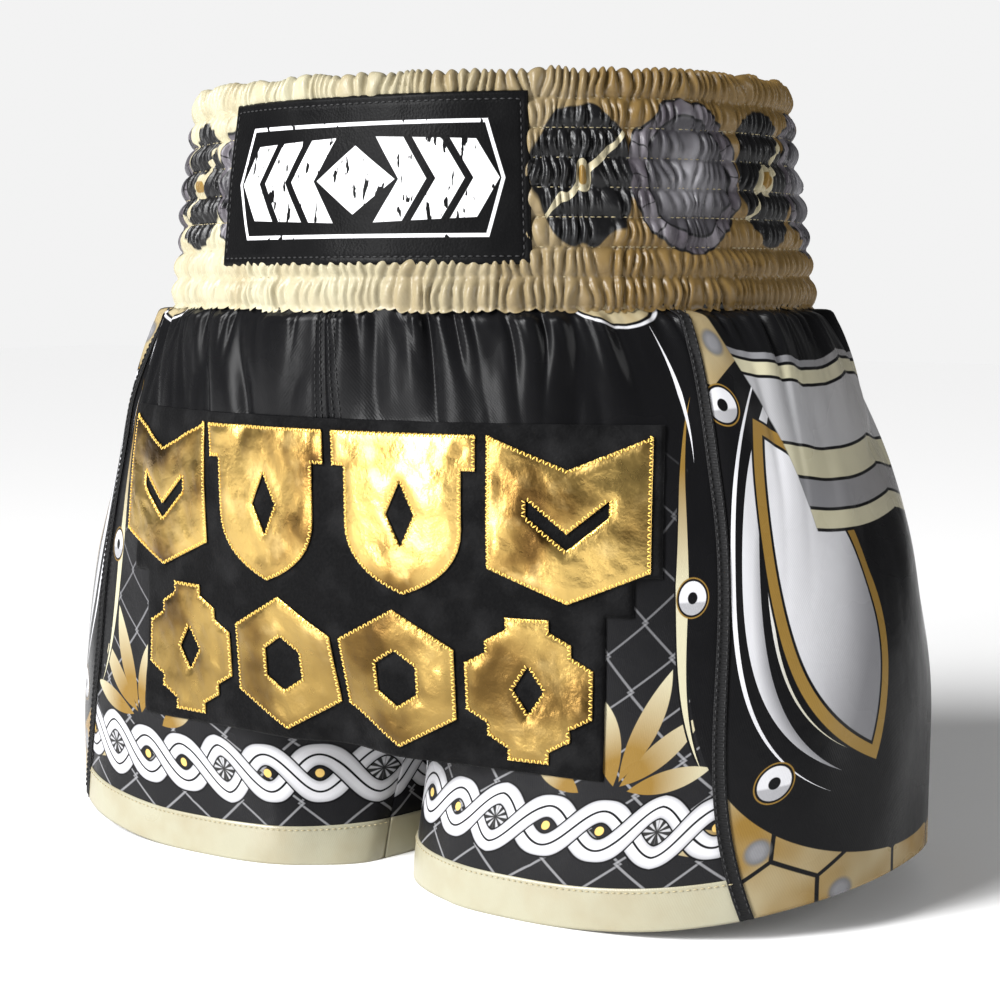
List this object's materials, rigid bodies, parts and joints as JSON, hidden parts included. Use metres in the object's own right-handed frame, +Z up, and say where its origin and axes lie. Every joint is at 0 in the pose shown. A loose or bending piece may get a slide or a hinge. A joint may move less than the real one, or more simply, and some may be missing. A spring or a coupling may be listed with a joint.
{
  "type": "boxing shorts",
  "caption": "Satin boxing shorts with a wide ruched elastic waistband, side panels, hem bands and a gold foil applique on the front, open at the waist and legs.",
  "frame": {"origin": "on the plane of the hems, under the middle of the garment's bounding box", "axes": "+Z up to the waist, the front faces -Y, +X is the wearer's left"},
  "size_m": [0.466, 0.2626, 0.371],
  "materials": {
    "printed_satin": "printed polyester satin, black",
    "side_satin": "printed polyester satin, gold, grey and black",
    "gold_satin": "polyester satin, pale gold",
    "seam_tape": "woven tape, black",
    "elastic_web": "knitted elastic, off-white",
    "label_leather": "smooth artificial leather, black, stitched",
    "black_velvet": "black velvet",
    "gold_foil": "creased metallised gold foil"
  },
  "bodies": {
    "root": {"waistband_casing": "gold_satin", "elastic_band_1": "elastic_web", "elastic_band_2": "elastic_web", "elastic_band_3": "elastic_web", "elastic_band_4": "elastic_web", "elastic_band_5": "elastic_web", "elastic_band_6": "elastic_web", "elastic_band_7": "elastic_web", "elastic_band_8": "elastic_web", "waist_label": "label_leather", "front_panel_left": "printed_satin", "side_panel_left": "side_satin", "back_panel_left": "printed_satin", "front_panel_right": "printed_satin", "side_panel_right": "side_satin", "back_panel_right": "printed_satin", "crotch_gusset": "printed_satin", "hem_front_left": "gold_satin", "hem_back_left": "gold_satin", "hem_gusset_left": "gold_satin", "seam_tape_front_left": "seam_tape", "seam_tape_back_left": "seam_tape", "hem_front_right": "gold_satin", "hem_back_right": "gold_satin", "hem_gusset_right": "gold_satin", "seam_tape_front_right": "seam_tape", "seam_tape_back_right": "seam_tape", "applique_backing": "black_velvet", "foil_upper_outer_right": "gold_foil", "foil_upper_outer_left": "gold_foil", "foil_upper_inner_right": "gold_foil", "foil_upper_inner_left": "gold_foil", "foil_lower_outer_right": "gold_foil", "foil_lower_outer_left": "gold_foil", "foil_lower_inner_right": "gold_foil", "foil_lower_inner_left": "gold_foil"}
  },
  "joints": []
}
